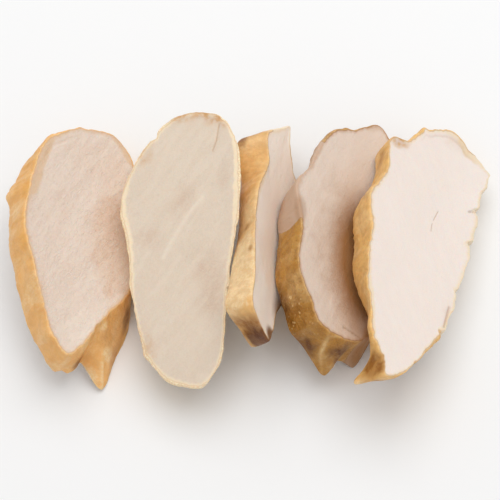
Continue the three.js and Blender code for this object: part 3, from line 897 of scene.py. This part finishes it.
def new_group(name, inputs, outputs):
    """A node group with named inputs and outputs, and its input node's sockets."""
    tree = bpy.data.node_groups.new(name, "ShaderNodeTree")
    for title, kind in inputs.items():
        tree.interface.new_socket(title, in_out="INPUT", socket_type="NodeSocket" + kind)
    for title in outputs:
        tree.interface.new_socket(title, in_out="OUTPUT", socket_type="NodeSocketFloat")
    return tree, tree.nodes.new("NodeGroupInput").outputs


def meat_fibres(name):
    """Fibres of cut meat, turned about the depth: fine ones in patches, broad bands, moist specks."""
    tree, given = new_group(
        name, {"Position": "Vector", "Turn": "Float"}, ["Fine", "Bands", "Specks", "Height"])
    turned = add_node(
        tree, "ShaderNodeVectorRotate", {"Vector": given["Position"], "Angle": given["Turn"]},
        rotation_type="Z_AXIS").outputs[0]
    threads, places, bands, specks = eased_noises(
        tree, turned, "threads", "places", "bands", "specks")
    fine = product_of(tree, threads, places)
    height = calculate(tree, "MULTIPLY_ADD", specks, SPECK_BUMP, threads)
    add_node(tree, "NodeGroupOutput", dict(enumerate([fine, bands, specks, height])))
    return tree


def smoked_skin(name):
    """Smoked skin: mottling, broad light patches, small pale dots that serve as painted highlights, fine
    grain, and a height.
    """
    tree, given = new_group(name, {"Position": "Vector"}, ["Mottle", "Patches", "Dots", "Grain", "Height"])
    position = given["Position"]
    mottle, patches, grain, pores = eased_noises(
        tree, position, "mottle", "patches", "grain", "pores")
    inputs = {"Vector": position, "Scale": 1 / DOT_SPACING}
    cells = add_node(tree, "ShaderNodeTexVoronoi", inputs).outputs[0]
    dots = calculate(tree, "SUBTRACT", 1, between(tree, cells, *DOT_EDGE))
    unevenness = noise(tree, position, FINE_BUMP_SIZE, 3, 0)
    height = calculate(tree, "MULTIPLY_ADD", unevenness, FINE_BUMP, pores)
    add_node(tree, "NodeGroupOutput", dict(enumerate([mottle, patches, dots, grain, height])))
    return tree


def ragged_edge(name):
    """A mask that is 1 where a distance in millimetres is past a start, with an uneven border."""
    tree, given = new_group(
        name,
        {"Position": "Vector", "Distance": "Float", "Start": "Float", "Ragged": "Float", "Soft": "Float"},
        ["Mask"])
    uneven = calculate(tree, "SUBTRACT", noise(tree, given["Position"], *EDGE_NOISE), 0.5)
    moved = calculate(tree, "MULTIPLY_ADD", uneven, given["Ragged"], given["Distance"])
    past = calculate(tree, "SUBTRACT", moved, given["Start"])
    share = calculate(tree, "MULTIPLY_ADD", calculate(tree, "DIVIDE", past, given["Soft"]), 0.5, 0.5)
    add_node(tree, "NodeGroupOutput", {0: between(tree, share, 0, 1)})
    return tree


def use_group(tree, build, inputs):
    """Outputs of a node with the given inputs, whose group is built once and then used again."""
    name = build.__name__.replace("_", " ").capitalize()
    group = bpy.data.node_groups.get(name) or build(name)
    return add_node(tree, "ShaderNodeGroup", inputs, node_tree=group).outputs


def past_edge(tree, position, mask, what):
    """1 past one of the EDGES, 0 before it."""
    distance, start, ragged, soft = EDGES[what]
    given = {"Distance": mask[distance], "Start": start, "Ragged": ragged, "Soft": soft}
    return use_group(tree, ragged_edge, {"Position": position, **given})[0]


def meat_colour(tree, look, finish, mask, fibres, skin, on_rind, outline):
    """Colour of the cut faces."""
    uneven = calculate(tree, "MULTIPLY_ADD", skin["Mottle"], *MEAT_MOTTLE)
    return layered(
        tree, opaque(look.meat),
        # pinker meat, and painted shade where the flush spots stand for shadow
        (look.flush, mask["flush"], uneven),
        (look.streak, fibres["Bands"], finish["bands"]),
        (look.streak, mask["pale"], 0.8),
        (look.streak, fibres["Fine"], finish["fibres"]),
        (look.streak, skin["Grain"], finish["grain"]),
        (srgb(*JUICE), fibres["Specks"], finish["specks"]),
        (look.rind, on_rind, 0.85),
        (look.gold, mask["tan"], skin["Mottle"]),
        (look.brown, mask["tan"], uneven, 0.4),
        (look.brown, mask["crack"], 0.4),
        (look.brown, outline, finish["outline"]),
    )


def skin_colour(tree, look, finish, mask, skin):
    """Colour of the smoked skin, lighter next to the cut edge."""
    mottled = calculate(tree, "MULTIPLY_ADD", skin["Mottle"], *SKIN_MOTTLE)
    start, end, share = LIGHT_EDGE
    near_edge = calculate(tree, "MULTIPLY_ADD", between(tree, mask["rim"], start, end), -share, share)
    return layered(
        tree, opaque(look.skin),
        (look.skin_light, skin["Patches"], 0.45),
        (look.gold, mask["gold"], mottled),
        (look.skin_light, mask["pale"]),
        (look.skin_light, near_edge),
        (look.brown, skin["Mottle"], finish["mottle"]),
        (look.gold, skin["Grain"], 0.35),
        (look.brown, mask["brown"], mottled),
        (look.dark, mask["dark"], mottled),
        # Painted highlights: pale dots on the glossy skin stand in for its glints
        (look.skin_light, skin["Dots"], mask["gloss"], 0.7),
    )


def slice_material(number, look):
    """Cut meat on the faces, a thin rind round them, and smoked skin over the rim, with painted shade laid
    over all of them by the shade mask.
    """
    piece = SLICES[number - 1]
    finish = piece["finish"]
    material = bpy.data.materials.new(f"{piece['slot']}_finish")
    material.use_nodes = True
    tree = material.node_tree
    tree.nodes.clear()
    position = add_node(tree, "ShaderNodeAttribute", attribute_name="cut").outputs["Vector"]
    names = [name for name in MASKS if name != "bare"] + ["rim"]
    mask = {n: add_node(tree, "ShaderNodeAttribute", attribute_name=n).outputs["Fac"] for n in names}
    turn = math.radians(piece["fibre_turn"])
    fibres = use_group(tree, meat_fibres, {"Position": position, "Turn": turn})
    skin = use_group(tree, smoked_skin, {"Position": position})
    on_skin, on_rind, outline = (past_edge(tree, position, mask, what) for what in EDGES)
    meat = meat_colour(tree, look, finish, mask, fibres, skin, on_rind, outline)
    colour = blend(tree, on_skin, meat, skin_colour(tree, look, finish, mask, skin))
    # Painted shade over meat and skin, where the shade mask says
    colour = layered(tree, colour, (look.shade, mask["shade"], SHADE_SHARE))
    meat_rough = calculate(tree, "MULTIPLY_ADD", fibres["Specks"], ROUGHNESS["juice"], ROUGHNESS["meat"])
    skin_rough = calculate(tree, "MULTIPLY_ADD", mask["gloss"], ROUGHNESS["gloss"], ROUGHNESS["skin"])
    rough = add_node(tree, "ShaderNodeMix", {0: on_skin, 2: meat_rough, 3: skin_rough}).outputs[0]
    meat_height = product_of(tree, fibres["Height"], MEAT_BUMP * finish["relief"])
    skin_height = product_of(tree, skin["Height"], finish["skin_relief"])
    height = add_node(tree, "ShaderNodeMix", {0: on_skin, 2: meat_height, 3: skin_height}).outputs[0]
    bump = add_node(
        tree, "ShaderNodeBump", {"Strength": BUMP_STRENGTH, "Distance": BUMP_HEIGHT, "Height": height})
    shader = add_node(
        tree, "ShaderNodeBsdfPrincipled",
        {"Base Color": colour, "Roughness": rough, "Normal": bump.outputs[0], **SOFT_BODY})
    add_node(tree, "ShaderNodeOutputMaterial", {0: shader.outputs[0]})
    return material


# Operators


class CHICKEN_OT_add_slice(bpy.types.Operator):
    """Add one slice of smoked chicken breast in place of its plain solid"""

    bl_idname = "chicken.add_slice"
    bl_label = "Add Slice"
    number: bpy.props.IntProperty(
        name="Slice", description="Which slice of the row, from the left",
        default=1, min=1, max=len(SLICES))

    def execute(self, context):
        settings = context.scene.chicken
        node = f"slice_{self.number}"
        thing = make_slice(self.number, settings.relief)
        thing.data.materials.append(slice_material(self.number, settings.looks[node]))
        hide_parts(node)
        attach(thing, "root")
        return {"FINISHED"}


class CHICKEN_OT_add_stage(bpy.types.Operator):
    """Add the pale floor, the soft light and the camera"""

    bl_idname = "chicken.add_stage"
    bl_label = "Add Stage"

    def execute(self, context):
        scene, studio = context.scene, context.scene.chicken.studio
        lo, hi = CAD_BOX
        target = Vector(((lo.x + hi.x) / 2, (lo.y + hi.y) / 2, 0)) + Vector(studio.aim)
        add_floor(studio.floor)
        add_light("key_light", Vector(KEY_PLACE), KEY_SIZE, studio.key)
        world = bpy.data.worlds.new("studio")
        world.use_nodes = True
        world.node_tree.nodes["Background"].inputs["Color"].default_value = (1, 1, 1, 1)
        world.node_tree.nodes["Background"].inputs["Strength"].default_value = studio.sky
        scene.world = world
        camera = bpy.data.objects.new("camera", bpy.data.cameras.new("camera"))
        back = Vector((0, -math.cos(studio.elevation), math.sin(studio.elevation)))
        camera.location = target + studio.distance * back
        camera.rotation_euler = (math.pi / 2 - studio.elevation, 0, 0)
        camera.data.lens = studio.lens
        camera.data.sensor_width = SENSOR_WIDTH
        camera.data.clip_start = NEAREST
        scene.collection.objects.link(camera)
        scene.camera = camera
        scene.view_settings.view_transform = "Standard"
        return {"FINISHED"}


def add_floor(colour):
    """A wide pale disc whose height is 0 everywhere: points at radius times the cosine and sine of the
    turn."""
    turn = np.linspace(0, 2 * np.pi, FLOOR_CORNERS, endpoint=False)
    points = np.column_stack([np.cos(turn), np.sin(turn), np.zeros(FLOOR_CORNERS)]) * FLOOR_RADIUS
    mesh = bpy.data.meshes.new("floor")
    mesh.from_pydata(points.tolist(), [], [list(range(FLOOR_CORNERS))])
    material = bpy.data.materials.new("pale_floor")
    material.use_nodes = True
    shader = material.node_tree.nodes["Principled BSDF"]
    for name, value in {"Base Color": opaque(colour), **FLOOR_FINISH}.items():
        shader.inputs[name].default_value = value
    mesh.materials.append(material)
    floor = bpy.data.objects.new("floor", mesh)
    bpy.context.scene.collection.objects.link(floor)


def add_light(name, place, size, power):
    """A square soft light that faces the row."""
    light = bpy.data.lights.new(name, "AREA")
    light.size = size
    light.energy = power
    thing = bpy.data.objects.new(name, light)
    thing.location = place
    thing.rotation_euler = place.to_track_quat("Z", "Y").to_euler()
    bpy.context.scene.collection.objects.link(thing)


class CHICKEN_PT_sidebar(bpy.types.Panel):
    """Lists the pieces of the row and their settings"""

    bl_label = "Smoked chicken breast"
    bl_idname = "CHICKEN_PT_sidebar"
    bl_space_type = "VIEW_3D"
    bl_region_type = "UI"
    bl_category = "Chicken"

    def draw(self, context):
        layout, settings = self.layout, context.scene.chicken
        for number in range(1, len(SLICES) + 1):
            button = layout.operator(CHICKEN_OT_add_slice.bl_idname, text=f"Add Slice {number}")
            button.number = number
        layout.operator(CHICKEN_OT_add_stage.bl_idname)
        for group in (settings.relief, settings.studio, *settings.looks):
            box = layout.box()
            for field in group.__annotations__:
                box.prop(group, field)


CLASSES = [
    SliceLook, ReliefSettings, StudioSettings, ChickenSettings,
    CHICKEN_OT_add_slice, CHICKEN_OT_add_stage, CHICKEN_PT_sidebar,
]


def register():
    for kind in CLASSES:
        bpy.utils.register_class(kind)
    bpy.types.Scene.chicken = bpy.props.PointerProperty(type=ChickenSettings)


def unregister():
    del bpy.types.Scene.chicken
    for kind in reversed(CLASSES):
        bpy.utils.unregister_class(kind)


def set_looks(settings):
    """Gives each slice its own colours, which a user may then change."""
    for number, piece in enumerate(SLICES, 1):
        look = settings.looks.add()
        look.name = f"slice_{number}"
        for field, colour in piece["colours"].items():
            setattr(look, field, srgb(*colour))


def main():
    register()
    set_looks(bpy.context.scene.chicken)
    for number in range(1, len(SLICES) + 1):
        bpy.ops.chicken.add_slice(number=number)
    bpy.ops.chicken.add_stage()


if __name__ == "__main__":
    main()
